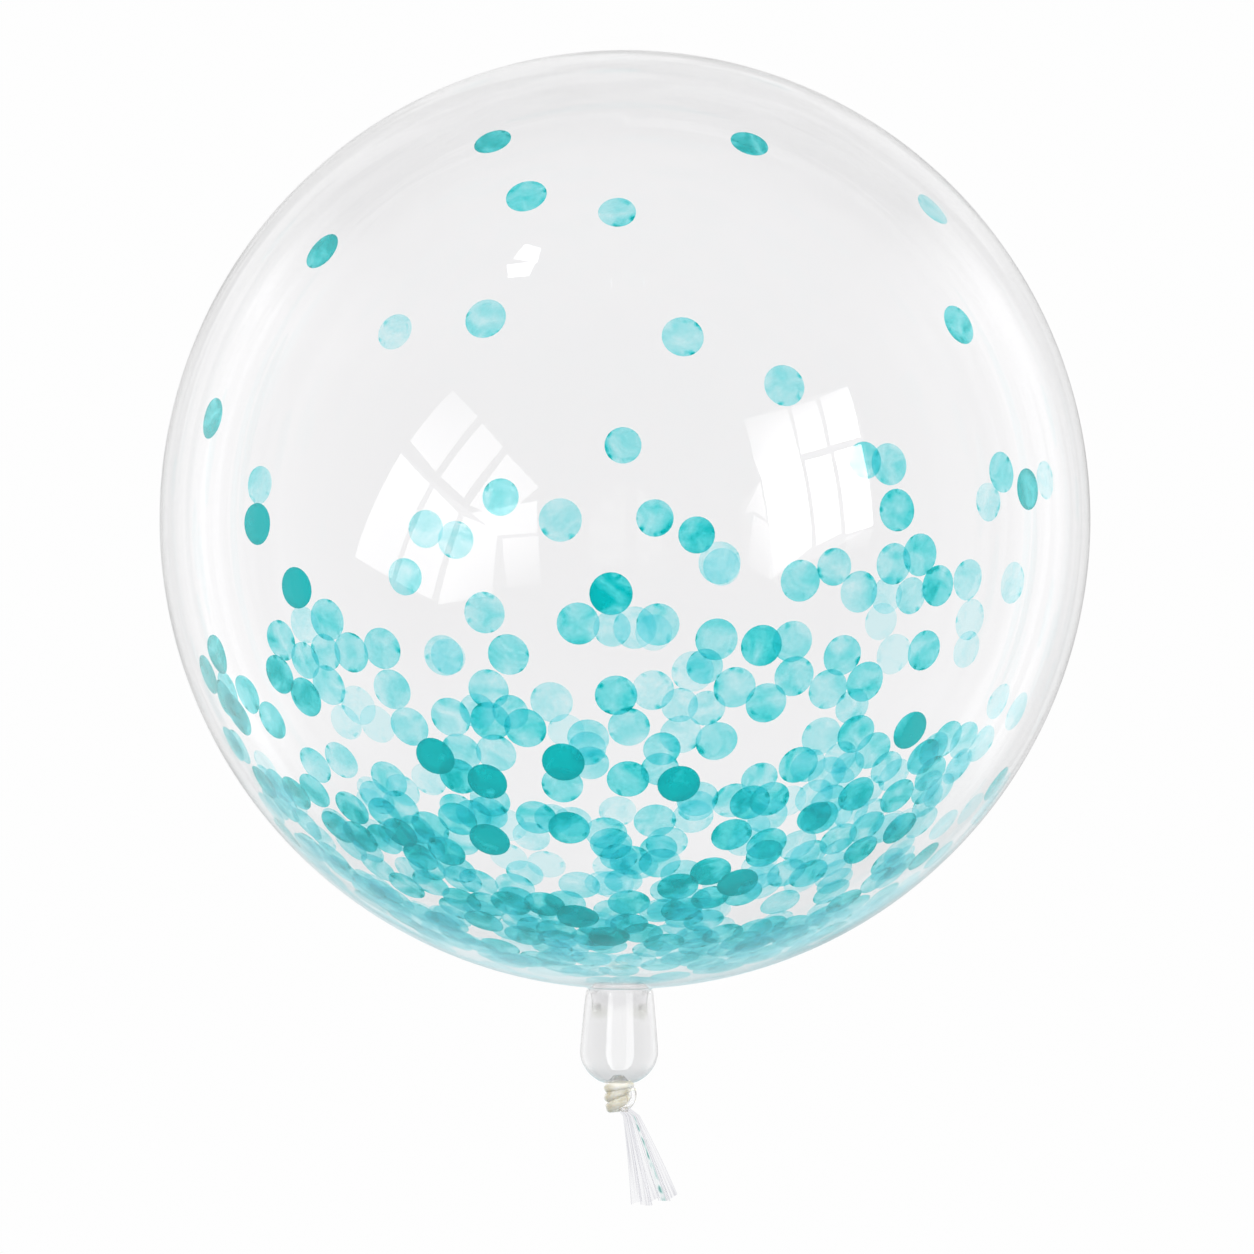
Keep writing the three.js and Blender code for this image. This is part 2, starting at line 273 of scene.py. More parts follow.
# Discs that stand out one by one: pixel and how deep the colour is. A last value marks those on
# the far wall.
FAR = True
LOOSE_DISCS = [
    (492, 140, 0.86, FAR), (750, 142, 0.86, FAR), (526, 195, 0.68), (617, 211, 0.5, FAR),
    (934, 208, 0.4, FAR), (321, 250, 0.95), (394, 331, 0.1, FAR), (485, 318, 0.42),
    (683, 336, 0.36), (785, 385, 0.36), (960, 324, 0.8), (211, 418, 0.98), (623, 445, 0.5, FAR),
    (258, 485, 0.3, FAR), (256, 524, 1.2), (500, 497, 0.5, FAR), (560, 520, 0.28),
    (655, 518, 0.57, FAR), (697, 535, 0.64, FAR), (720, 563, 0.18), (722, 567, 0.1, FAR),
    (425, 529, 0.27, FAR), (455, 540, 0.27, FAR), (404, 577, 0.4, FAR), (484, 613, 0.33),
    (890, 464, 0.38), (866, 460, 0.45, FAR), (898, 510, 0.65), (1003, 472, 0.58),
    (990, 502, 0.12, FAR), (1029, 489, 1.05), (1047, 480, 0.05, FAR), (801, 581, 0.48),
    (835, 567, 0.42, FAR), (860, 592, 0.42), (921, 555, 0.55), (895, 564, 0.5), (939, 586, 0.6),
    (969, 580, 0.28), (1014, 583, 0.1), (295, 588, 1.2), (303, 625, 0.15, FAR), (326, 620, 0.46),
    (280, 641, 0.55), (278, 675, 0.85), (304, 661, 0.5, FAR), (324, 653, 0.45, FAR),
    (350, 653, 0.5), (381, 649, 0.42), (304, 698, 0.75), (328, 686, 0.32), (391, 690, 0.4),
    (443, 656, 0.25), (447, 657, 0.08, FAR), (357, 706, 0.0), (345, 723, 0.0, FAR), (376, 725, 0.0),
    (408, 728, 0.42), (216, 655, 0.95), (207, 675, 0.95), (226, 690, 0.6, FAR), (235, 713, 0.85),
    (246, 695, 0.66), (271, 721, 0.64), (238, 748, 0.5, FAR), (314, 766, 0.5), (340, 761, 0.35),
    (388, 780, 0.45), (434, 758, 1.1), (450, 718, 0.45), (477, 712, 0.3, FAR), (490, 722, 0.6),
    (488, 690, 0.42), (508, 655, 0.52), (525, 729, 0.62), (510, 713, 0.45, FAR), (551, 703, 0.2),
    (460, 754, 0.4), (495, 755, 0.45), (486, 784, 1.1), (457, 779, 0.75), (563, 763, 1.1),
    (562, 786, 0.5), (588, 739, 0.3), (566, 732, 0.0, FAR), (578, 624, 0.52), (612, 629, 0.2, FAR),
    (611, 594, 0.88), (635, 628, 0.18), (658, 625, 0.42), (654, 633, 0.05, FAR), (616, 696, 0.68),
    (653, 691, 0.18), (629, 728, 0.42), (693, 672, 0.08), (705, 667, 0.5, FAR), (717, 640, 0.48),
    (735, 688, 0.5), (707, 709, 0.3, FAR), (680, 706, 0.3, FAR), (681, 735, 0.2), (717, 742, 0.45),
    (628, 780, 0.65), (660, 770, 0.5, FAR), (679, 785, 1.1), (662, 750, 0.5, FAR), (762, 646, 0.66),
    (793, 642, 0.36), (795, 677, 0.42), (767, 704, 0.52), (843, 656, 0.42), (829, 690, 0.44),
    (866, 682, 0.6), (853, 707, 0.35, FAR), (822, 737, 0.25), (857, 735, 0.62), (799, 766, 0.58),
    (828, 776, 0.3), (849, 768, 0.35, FAR), (874, 752, 0.5), (925, 651, 0.6), (911, 731, 1.0),
    (895, 655, 0.0), (882, 622, 0.0, FAR), (912, 596, 0.3, FAR), (888, 596, 0.1, FAR),
    (971, 620, 0.0), (968, 650, 0.0, FAR), (948, 740, 0.5), (925, 758, 0.62), (965, 741, 0.35),
    (983, 745, 0.2), (960, 766, 0.3, FAR), (1018, 712, 0.1), (1000, 702, 0.0, FAR),
    (457, 820, 0.75), (489, 841, 1.1), (569, 829, 0.85), (536, 819, 0.6), (655, 822, 0.45),
    (770, 800, 0.75), (738, 884, 1.1), (678, 888, 0.85), (578, 918, 1.1), (609, 938, 0.95),
    (524, 937, 0.72), (295, 794, 0.78), (313, 792, 0.62), (278, 787, 0.6), (351, 809, 0.7),
    (337, 828, 0.75), (359, 838, 0.72), (383, 841, 0.6), (376, 799, 0.42), (400, 809, 0.45),
    (429, 829, 0.65), (473, 816, 0.5, FAR), (406, 887, 0.68), (368, 888, 0.66), (430, 885, 0.45),
    (385, 893, 0.6), (456, 870, 0.42), (478, 884, 0.5), (461, 902, 0.55), (486, 907, 0.6),
    (510, 906, 0.78), (483, 924, 0.8), (544, 907, 0.82), (556, 932, 0.75), (500, 948, 0.6),
    (552, 949, 0.6), (449, 924, 0.58), (420, 914, 0.55), (393, 909, 0.6), (224, 699, 0.85),
    (238, 718, 0.95), (231, 745, 0.62, FAR), (732, 836, 0.76), (767, 845, 0.78), (711, 873, 0.9),
    (820, 819, 0.72), (857, 795, 0.7), (839, 840, 0.5), (798, 846, 0.38), (868, 828, 0.52),
    (898, 797, 0.72), (928, 788, 0.5), (923, 824, 0.3), (787, 874, 0.5), (809, 875, 0.55),
    (832, 893, 0.5), (878, 881, 0.5), (693, 818, 0.2), (733, 802, 0.36), (611, 845, 0.5),
    (667, 844, 0.38), (743, 895, 0.72), (629, 904, 0.75), (613, 886, 0.2), (682, 911, 0.74),
    (660, 913, 0.45), (704, 922, 0.55), (664, 944, 0.78), (741, 942, 0.7), (753, 931, 0.55),
    (824, 916, 0.55), (853, 908, 0.5), (791, 927, 0.5), (267, 783, 0.45), (283, 808, 0.5),
    (305, 826, 0.6), (312, 848, 0.4), (333, 858, 0.5), (344, 871, 0.5), (320, 838, 0.4, FAR),
    (367, 896, 0.5), (932, 775, 0.62), (941, 792, 0.34), (958, 769, 0.3, FAR), (905, 824, 0.1, FAR),
    (886, 830, 0.2), (945, 826, 0.1, FAR), (895, 776, 0.2, FAR), (935, 750, 0.6, FAR),
    (540, 960, 0.55), (561, 969, 0.45), (580, 975, 0.4, FAR), (517, 962, 0.5), (496, 959, 0.4, FAR),
    (479, 948, 0.55), (456, 937, 0.5), (442, 923, 0.45, FAR), (591, 960, 0.4), (619, 972, 0.5),
    (605, 983, 0.4, FAR), (636, 962, 0.35), (661, 967, 0.5), (643, 982, 0.45), (680, 960, 0.4, FAR),
    (670, 978, 0.4), (699, 962, 0.5), (727, 951, 0.5, FAR), (713, 970, 0.35), (755, 945, 0.5),
    (741, 961, 0.4), (773, 933, 0.4, FAR), (769, 953, 0.5), (792, 938, 0.45), (530, 978, 0.3, FAR),
    (560, 986, 0.4), (690, 986, 0.3, FAR), (812, 930, 0.4),
]

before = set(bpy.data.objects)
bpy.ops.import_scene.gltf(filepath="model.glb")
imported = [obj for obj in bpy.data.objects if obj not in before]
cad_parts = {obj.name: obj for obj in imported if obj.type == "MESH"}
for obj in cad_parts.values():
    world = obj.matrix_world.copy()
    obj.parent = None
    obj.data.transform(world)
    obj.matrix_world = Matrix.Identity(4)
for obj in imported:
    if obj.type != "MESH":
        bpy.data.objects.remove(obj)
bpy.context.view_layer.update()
ball_low, ball_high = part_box("ball")
neck_low, neck_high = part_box("neck_sleeve_and_tail")
BALL_RADIUS = (ball_high.x - ball_low.x) / 2
BALL_HALF = ball_high.y
CENTRE = Vector((0, 0, ball_high.z - BALL_RADIUS))
SLEEVE_RADIUS = (neck_high.z - neck_low.z) / 2


def smooth_share(value, low, high):
    """0 below low, 1 above high and a smooth rise between."""
    share = min(1, max(0, (value - low) / (high - low)))
    return share * share * (3 - 2 * share)


def lerp(a, b, share):
    return a + (b - a) * share


def add_mesh(name, vertices, faces, material, **values):
    """A smooth piece. Each value has one number for each vertex, for the piece's material."""
    mesh = bpy.data.meshes.new(name)
    mesh.from_pydata([tuple(v) for v in vertices], [], faces)
    turn_faces_outward(mesh)
    mesh.polygons.foreach_set("use_smooth", [True] * len(mesh.polygons))
    mesh.materials.append(material)
    for value, numbers in values.items():
        mesh.attributes.new(value, "FLOAT", "POINT").data.foreach_set("value", numbers)
    piece = bpy.data.objects.new(name, mesh)
    bpy.context.scene.collection.objects.link(piece)
    return piece


def turn_faces_outward(mesh):
    work = bmesh.new()
    work.from_mesh(mesh)
    bmesh.ops.recalc_face_normals(work, faces=work.faces)
    work.to_mesh(mesh)
    work.free()


def revolve(profile, sides):
    """Vertices and faces of a closed form turned about the Y axis. The profile is a ring of
    (radius, y) points, or runs from the axis to the axis."""
    vertices, rows = [], []
    for radius, y in profile:
        row = []
        if radius < ON_AXIS:
            row = [len(vertices)] * sides
            vertices.append(Vector((0, y, 0)))
        else:
            for k in range(sides):
                angle = 2 * math.pi * k / sides
                row.append(len(vertices))
                vertices.append(Vector((radius * math.cos(angle), y, radius * math.sin(angle))))
        rows.append(row)
    faces = []
    for a, b in zip(rows, rows[1:]):
        for k in range(sides):
            m = (k + 1) % sides
            corners = []
            for index in (a[k], a[m], b[m], b[k]):
                if index not in corners:
                    corners.append(index)
            faces.append(corners)
    return vertices, faces


def neck_point(x, drop, z):
    """A place on the leaning neck, in the part's frame."""
    turned = Matrix.Rotation(-NECK_LEAN, 3, "Z") @ Vector((x, -BALL_HALF - drop, z))
    return turned + CENTRE


def mouth_radius(drop):
    share = min(1, max(0, 1 - drop / MOUTH_FLARE_LENGTH))
    return MOUTH_RADIUS + MOUTH_FLARE * share * share


def mouth_rim_wave(angle):
    """How far the mouth's cut end wanders along the neck."""
    return (0.5 * math.sin(3 * angle + 0.6) + 0.35 * math.sin(7 * angle)) * MM


def bent(start, bend, end, share):
    """A number that goes from start to end by a smooth bend."""
    return (1 - share) ** 2 * start + 2 * share * (1 - share) * bend + share * share * end


def ball_profile(inset):
    """Half of the ball film from the crown to the mouth's end, moved inwards by inset."""
    wide, long = BALL_RADIUS - inset, BALL_HALF - inset
    corner = MOUTH_CORNER_RADIUS
    corner_angle = math.acos(corner / wide)
    points = []
    for i in range(BALL_RINGS + 1):
        angle = lerp(math.pi / 2, -corner_angle, i / BALL_RINGS)
        points.append((wide * math.cos(angle) if i else 0, long * math.sin(angle)))
    corner_drop = -points[-1][1] - BALL_HALF
    end_drop = MOUTH_CORNER_LENGTH
    end_radius = mouth_radius(end_drop) - inset
    for i in range(1, MOUTH_CORNER_STEPS + 1):
        share = i / MOUTH_CORNER_STEPS
        radius = bent(corner, end_radius + MOUTH_CORNER_BEND, end_radius, share)
        drop = bent(corner_drop, 0.5 * corner_drop, end_drop, share)
        points.append((radius, -BALL_HALF - drop))
    for i in range(1, MOUTH_STEPS + 1):
        share = i / MOUTH_STEPS
        drop = lerp(end_drop, MOUTH_LENGTH, share)
        points.append((mouth_radius(drop) - inset * (1 - 0.85 * share), -BALL_HALF - drop))
    return points


def ball_film(material):
    """The ball with its mouth: an outer and an inner face, joined at the mouth's open end, where
    the film is sealed to the sleeve and no longer shows."""
    profile = ball_profile(0) + ball_profile(FILM)[::-1]
    vertices, faces = revolve(profile, BALL_SIDES)
    placed, fade = [], []
    for v in vertices:
        fade.append(smooth_share(-v.y - BALL_HALF, MOUTH_FADE_START, MOUTH_FADE_END))
        around = math.hypot(v.x, v.z)
        near_neck = (1 - smooth_share(around, LEAN_FULL, LEAN_START)) * (v.y < 0)
        v = Matrix.Rotation(-NECK_LEAN * near_neck, 3, "Z") @ v
        past = smooth_share(-v.y - BALL_HALF, MOUTH_FLARE_LENGTH, MOUTH_LENGTH)
        v.y -= past * mouth_rim_wave(math.atan2(v.z, v.x))
        inner = around < BALL_RADIUS and v.length < BALL_RADIUS - FILM / 2
        floor = FILM if inner else 0
        v += CENTRE
        v.z = max(v.z, floor)
        placed.append(v)
    return add_mesh("ball_film", placed, faces, material, fade=fade)


def sleeve_end_drop(radius):
    round_part = SLEEVE_ROUND * math.sqrt(max(0, 1 - (radius / SLEEVE_RADIUS) ** 2))
    return SLEEVE_SHOULDER + round_part - SLEEVE_PUCKER * math.exp(
        -((radius / SLEEVE_PUCKER_RADIUS) ** 2)
    )


def cord_drop(angle):
    """The first part of a turn is flat. After it the front of each turn slopes down to the left."""
    past_left = angle - math.pi
    if past_left < 0:
        return FIRST_LOBE + FIRST_TURN_PITCH * past_left / (2 * math.pi)
    return FIRST_LOBE + TURN_PITCH * past_left / (2 * math.pi) - TURN_SLANT * (1 + math.cos(angle))


def stem_aside(drop):
    return STEM_BEND * smooth_share(drop, STEM_BEND_START, KNOT_END)


def sleeve_outside():
    """(radius, drop) from the stem's end up the outside to the rim."""
    stem_end = TAIL_START + STEM_RADIUS
    stem_top = sleeve_end_drop(STEM_RADIUS)
    points = [(0, stem_end)]
    first, last = stem_end - STEM_ROUNDING, stem_top + 2 * STEM_ROUNDING
    for i in range(STEM_STEPS):
        points.append((STEM_RADIUS, lerp(first, last, i / STEM_STEPS)))
    for i in range(SLEEVE_END_STEPS + 1):
        outwards = math.sin(math.pi / 2 * i / SLEEVE_END_STEPS)
        radius = lerp(STEM_RADIUS * 1.06, SLEEVE_RADIUS, outwards)
        points.append((radius, sleeve_end_drop(radius)))
    middle_radius = lerp(SLEEVE_TOP_RADIUS, SLEEVE_RADIUS, 0.7)
    middle_drop = SLEEVE_SHOULDER * 0.6
    top = sleeve_top_drop()
    for i in range(1, SLEEVE_SIDE_STEPS + 1):
        share = i / SLEEVE_SIDE_STEPS
        radius = bent(SLEEVE_RADIUS, middle_radius, SLEEVE_TOP_RADIUS, share)
        points.append((radius, bent(SLEEVE_SHOULDER, middle_drop, top, share)))
    return points


def sleeve_profile():
    """Closed ring of (radius, drop): up the outside, over the rim and back down the inside."""
    outside = sleeve_outside()
    inside = []
    for before, here, after in zip(outside, outside[1:], outside[2:] + outside[-1:]):
        along = Vector((after[0] - before[0], after[1] - before[1])).normalized()
        radius = here[0] + along.y * SLEEVE_WALL
        drop = here[1] - along.x * SLEEVE_WALL
        if radius > SLEEVE_INSIDE_END:
            inside.append((radius, drop))
    inside.reverse()
    return outside + inside + [(0, inside[-1][1])]


def sleeve_top_drop():
    rim = SLEEVE_TOP_RADIUS / BALL_RADIUS
    return BALL_HALF * (math.sqrt(1 - rim * rim) - 1) + 2 * FIT_GAP


def gather(radius, angle):
    """How far the film's gathers stand out of a smooth turned form, strongest near the stem."""
    share = smooth_share(radius, 0, STEM_RADIUS) * (1 - smooth_share(radius, GATHER_FULL, GATHER_END))
    folds = math.cos(9 * angle + 0.7) + 0.6 * math.cos(14 * angle + 2) + 0.4 * math.cos(23 * angle)
    return GATHER_HEIGHT * share * folds


def neck_film(material):
    """Sleeve and stem as one closed film. Its rim is sealed to the ball and doesn't show. Towards
    the stem it is gathered closer."""
    vertices, faces = revolve([(r, -d) for r, d in sleeve_profile()], NECK_SIDES)
    placed, fade, gathered = [], [], []
    for v in vertices:
        radius, drop = math.hypot(v.x, v.z), -v.y
        on_stem = 1 - smooth_share(radius, STEM_OUTSIDE, STEM_FOOT)
        on_stem *= smooth_share(drop, STEM_GATHER_START, STEM_TOP)
        by_rim = 1 - smooth_share(drop, sleeve_top_drop(), RIM_FADE_END)
        fade.append(max(by_rim, STEM_FADE * on_stem))
        towards_stem = smooth_share(drop, STEM_GATHER_START, STEM_GATHER_END)
        # The gathered value is painted shade of the folds, greying the film's colour towards the stem
        gathered.append(0.25 * towards_stem + 0.75 * on_stem)
        angle = math.atan2(v.z, v.x)
        fold = gather(radius, angle)
        radius += fold
        drop += 1.5 * fold
        x = radius * math.cos(angle) + stem_aside(drop)
        placed.append(neck_point(x, drop, radius * math.sin(angle)))
    return add_mesh("neck_film", placed, faces, material, fade=fade, gathered=gathered)


def loop_point(angle):
    x = LOOP_ASIDE + LOOP_HALF_WIDTH * math.cos(angle)
    drop = LOOP_DROP + LOOP_HALF_LENGTH * math.sin(angle)
    return neck_point(x, drop, LOOP_LIFT + LOOP_TILT * math.cos(angle))


def ring(middle_line, angle, axis, radii):
    """Points round a rod's middle line at an angle of its turns, one for each radius."""
    centre = middle_line(angle)
    forward = (middle_line(angle + 0.01) - middle_line(angle - 0.01)).normalized()
    side = forward.cross(axis).normalized()
    up = side.cross(forward)
    points = []
    for k, radius in enumerate(radii):
        turn = 2 * math.pi * k / len(radii)
        points.append(centre + (side * math.cos(turn) + up * math.sin(turn)) * radius)
    return points


def rod_faces(steps, sides):
    """Faces of a closed rod whose rings follow each other in the vertices."""
    faces = []
    for row in range(0, steps * sides, sides):
        for k in range(sides):
            m = (k + 1) % sides
            faces.append([row + k, row + m, row + sides + m, row + sides + k])
    last = steps * sides
    return faces + [list(range(sides - 1, -1, -1)), list(range(last, last + sides))]


def film_loop(material):
    """The tail's film where it bends out of the knot on the right and back under it."""
    vertices = []
    turns = [2 * math.pi * k / LOOP_SIDES for k in range(LOOP_SIDES)]
    for i in range(LOOP_STEPS + 1):
        angle = lerp(LOOP_START, LOOP_END, i / LOOP_STEPS)
        creased = [LOOP_RADIUS * (1 + 0.08 * math.sin(3 * turn + 4 * angle)) for turn in turns]
        vertices += ring(loop_point, angle, Vector((0, 0, 1)), creased)
    faces = rod_faces(LOOP_STEPS, LOOP_SIDES)
    fade = [LOOP_FADE] * len(vertices)
    # Painted fold shade, as on the stem
    gathered = [LOOP_FOLD_SHADE] * len(vertices)
    return add_mesh("film_loop", vertices, faces, material, fade=fade, gathered=gathered)


def mouth_seams(material):
    """Cloudy film where the mouth's end is sealed to the sleeve, on the left and the right."""
    vertices, faces, cover = [], [], []
    for middle in SEAM_MIDDLES:
        start = len(vertices)
        for lift in (SEAM_FILM / 2, -SEAM_FILM / 2):
            for across, along in sheet_shares(SEAM_ROWS, SEAM_COLUMNS):
                u, v = 2 * across - 1, 2 * along - 1
                angle = middle + SEAM_REACH * u
                crumple = noise.noise(Vector((u * 3 + middle, v * 3, 5)))
                radius = SEAM_RADIUS + SEAM_CRUMPLE * crumple + lift
                drop = lerp(SEAM_START, SEAM_END, along)
                vertices.append(neck_point(radius * math.cos(angle), drop, radius * math.sin(angle)))
                ragged = 1 + 0.5 * noise.noise(Vector((u * 1.5 + middle, v * 1.5, 8)))
                cover.append(max(0, 1 - (u * u + v * v) * ragged) ** 1.5)
        faces += slab_faces(start, SEAM_ROWS, SEAM_COLUMNS)
    return add_mesh("mouth_seams", vertices, faces, material, cover=cover)


def tail_point(strip, across, along):
    """A place on one strip of the tail. across and along run from 0 to 1 over the strip."""
    middle = (strip + 0.5) / TAIL_STRIPS
    spread = (across - 0.5) * 1.25 / TAIL_STRIPS
    share = middle + spread
    angle = lerp(TAIL_FIRST, TAIL_LAST, share)
    uneven = TAIL_UNEVEN * math.sin(3 * math.pi * middle) ** 2
    uneven += TAIL_RAGGED * math.sin(9 * share + strip)
    reach = (TAIL_LENGTH - uneven) * along
    side = 1 if strip % 2 else -1
    depth = side * lerp(TAIL_GATHER_DEPTH, TAIL_END_DEPTH, along) * 0.5
    ridge = lerp(TAIL_FIRST_RIDGE, TAIL_LAST_RIDGE, along) * math.cos(3 * math.pi * across + strip)
    crinkle = noise.noise(Vector((across * 5 + strip * 7, along * 2.6, 3)))
    bow = TAIL_BOW * math.sin(math.pi * along) * math.sin(2.1 * strip + 0.4)
    start = stem_aside(TAIL_START) + TAIL_ASIDE * smooth_share(along, 0, 0.1)
    x = start + (share - 0.5) * TAIL_GATHER + reach * math.sin(angle) + bow
    drop = TAIL_START + reach * math.cos(angle)
    z = depth + ridge + TAIL_CRINKLE * crinkle * smooth_share(along, 0, 0.3)
    return neck_point(x, drop, z)


def tail_film(material):
    """Narrow strips of folded film, each a thin closed slab."""
    vertices, faces, stains, lines = [], [], [], []
    for strip in range(TAIL_STRIPS):
        start = len(vertices)
        for lift in (TAIL_FILM / 2, -TAIL_FILM / 2):
            for across, along in sheet_shares(STRIP_ROWS, STRIP_COLUMNS):
                vertices.append(tail_point(strip, across, along) + Vector((0, 0, lift)))
                stains.append(tail_stain(strip, across, along))
                lines.append(tail_crease_shade(strip, across, along))
        faces += slab_faces(start, STRIP_ROWS, STRIP_COLUMNS)
    return add_mesh("tail_film", vertices, faces, material, stain=stains, line=lines)


def tail_crease_shade(strip, across, along):
    """Painted shade on a strip: how grey it looks at its edges, along its creases and near the knot."""
    edge = max(0, 1 - min(across, 1 - across) / 0.09)
    crease = noise.noise(Vector((across * 6.5 + 13 * strip, along * 1.3, 2)))
    gathered = 1 - smooth_share(along, 0, 0.35)
    return min(1, 0.65 * edge + max(0, crease * 1.7 - 0.15) + 0.2 * gathered)


def tail_stain(strip, across, along):
    """Painted teal glint on one strip: a long broken streak along a fold."""
    if strip != GLINT_STRIP:
        return 0
    streak = math.exp(-(((across - 0.35 - 0.1 * along) / 0.14) ** 2))
    broken = 0.4 + 2.0 * noise.noise(Vector((along * 12, across * 4, 6)))
    return streak * smooth_share(along, 0.04, 0.14) * min(1, max(0.05, broken))


def sheet_shares(rows, columns):
    """Shares of the way across and along a sheet, for each vertex in turn."""
    return [(i / columns, j / rows) for j in range(rows + 1) for i in range(columns + 1)]


def sheet_faces(start, rows, columns):
    """Faces of a sheet whose rows follow each other in the vertices."""
    width = columns + 1
    first = [start + j * width + i for j in range(rows) for i in range(columns)]
    return [[k, k + 1, k + width + 1, k + width] for k in first]


def slab_faces(start, rows, columns):
    """Faces of a thin slab whose upper and lower sheets follow each other in the vertices."""
    width = columns + 1
    lower = (rows + 1) * width
    faces = sheet_faces(start, rows, columns) + sheet_faces(start + lower, rows, columns)
    border = list(range(columns))
    border += [j * width + columns for j in range(rows)]
    border += [rows * width + i for i in range(columns, 0, -1)]
    border += [j * width for j in range(rows, 0, -1)]
    for here, after in zip(border, border[1:] + border[:1]):
        a, b = start + here, start + after
        faces.append([a, b, b + lower, a + lower])
    return faces


def cord_point(angle):
    """A place on the cord's middle line. The last turns reach less far out to the right."""
    drop = cord_drop(angle)
    along = (angle - CORD_START) / (CORD_END - CORD_START)
    bulge = lerp(CORD_BULGE, CORD_LAST_BULGE, smooth_share(along, 0.35, 0.95))
    radius = STEM_RADIUS + FIT_GAP + CORD_RADIUS + bulge * max(0, math.cos(angle)) ** 2
    x = radius * math.cos(angle) - CORD_ASIDE + LAST_TURN_ASIDE * smooth_share(along, 0.6, 0.95)
    return neck_point(x, drop, radius * math.sin(angle))


def tie_cord(material):
    """The cord as a smooth rod with rounded ends and a slightly uneven width."""
    vertices = []
    turns = [2 * math.pi * k / CORD_SIDES for k in range(CORD_SIDES)]
    for i in range(CORD_STEPS + 1):
        angle = lerp(CORD_START, CORD_END, i / CORD_STEPS)
        from_end = min(i, CORD_STEPS - i) / CORD_END_STEPS
        fuller = 1 + 0.2 * smooth_share(i / CORD_STEPS, 0.6, 0.95)
        width = CORD_RADIUS * fuller * math.sqrt(1 - (1 - min(1, from_end)) ** 2)
        radii = []
        for turn in turns:
            bump = noise.noise(Vector((math.cos(turn), math.sin(turn), i * 0.07)) * 1.3)
            radii.append(max(width * (1.03 + 0.12 * bump), CORD_LEAST_RADIUS))
        vertices += ring(cord_point, angle, Vector((0, 1, 0)), radii)
    return add_mesh("tie_cord_rubber", vertices, rod_faces(CORD_STEPS, CORD_SIDES), material)


def pixel_ray(px, py):
    """Camera place and direction, from the ball's centre, through a pixel of the photograph."""
    step = FRAME_WIDTH / PHOTO_WIDTH
    eye = Vector((FRAME_X, FRAME_Y, CAMERA_RISE))
    across = (px - PHOTO_WIDTH / 2) * step
    up = (PHOTO_WIDTH / 2 - py) * step
    return eye, Vector((across, up, -CAMERA_RISE)).normalized()


def ball_hit(px, py, far):
    """Direction from the ball's centre to the near or far wall behind a pixel."""
    eye, ray = pixel_ray(px, py)
    scale = Vector((1 / BALL_RADIUS, 1 / BALL_HALF, 1 / BALL_RADIUS))
    e, r = eye * scale, ray * scale
    a, b, c = r.dot(r), e.dot(r), e.dot(e) - 1
    root = math.sqrt(max(0, b * b - a * c))
    distance = (-b + (root if far else -root)) / a
    return (eye + ray * distance).normalized()


def in_crowd(direction, rng):
    """True for a direction that the crowd of confetti towards the neck keeps. Few discs lie in a
    band to either side, a little above and below the middle."""
    edge = 0.06 * noise.noise(direction * 2.3 + Vector((3, 1, 7)))
    clump = 0.75 + 0.8 * noise.noise(direction * 6.5 + Vector((11, 4, 2)))
    low = edge - direction.y
    near_wall = 0 if direction.z < 0 else FAR_WALL_LEAD
    crowd = smooth_share(low - near_wall, CROWD_EDGE, CROWD_FULL)
    heap = smooth_share(low, HEAP_EDGE, HEAP_FULL)
    level = abs(direction.z)
    gap = smooth_share(level, BAND_START, BAND_FULL) * (1 - smooth_share(level, BAND_LAST, BAND_END))
    gap *= 1 - heap
    last = smooth_share(-direction.y, HEAP_FULL, HEAP_END)
    chance = (0.6 * crowd + 0.4 * heap) * (1 - 0.6 * gap) * (1 - 0.8 * last)
    return rng.random() < chance * min(1, max(0.3, clump))


def crowd_tone(direction, rng):
    """Most discs have one middling tone, and some are much paler or deeper. More of those on the
    far wall are pale, as painted light for how discs seen through the near wall look, and the
    heap is more even."""
    heap = smooth_share(-direction.y, HEAP_EDGE, HEAP_FULL)
    pick = rng.random()
    # The larger share of pale discs on the far wall is painted light
    if pick < (0.45 if direction.z < 0 else 0.25):
        return rng.uniform(0, 0.22)
    if pick < 0.87:
        return rng.uniform(0.28, 0.5) + 0.04 * heap
    return rng.uniform(0.6, 0.88) - 0.15 * heap


def confetti_places():
    """Directions from the ball's centre and tones of all discs, single ones first."""
    rng = random.Random(20)
    places = [(ball_hit(px, py, bool(far)), tone) for px, py, tone, *far in LOOSE_DISCS]
    least = SPACING * DISC_RADIUS / BALL_RADIUS
    while len(places) < len(LOOSE_DISCS) + CROWD_COUNT:
        y = rng.uniform(-LAST_DISC, -CROWD_EDGE)
        turn = rng.uniform(0, 2 * math.pi)
        around = math.sqrt(1 - y * y)
        direction = Vector((around * math.cos(turn), y, around * math.sin(turn)))
        clear = all((direction - other).length > least for other, _ in places)
        if clear and in_crowd(direction, rng):
            places.append((direction, crowd_tone(direction, rng)))
    return places


def confetti(material):
    """Every disc as a thin closed sheet that bends to the ball's wall, stacked where discs overlap."""
    rng = random.Random(7)
    vertices, faces, tones, rims = [], [], [], []
    settled = []
    for direction, tone in confetti_places():
        layer = 0
        for other, other_layer in settled:
            if (other - direction).length * BALL_RADIUS < OVERLAP * DISC_RADIUS:
                layer = max(layer, other_layer + 1)
        layer = min(layer, MOST_LAYERS)
        settled.append((direction, layer))
        add_disc(direction, layer, tone, rng, vertices, faces, tones, rims)
    return add_mesh("confetti", vertices, faces, material, tone=tones, rim=rims)


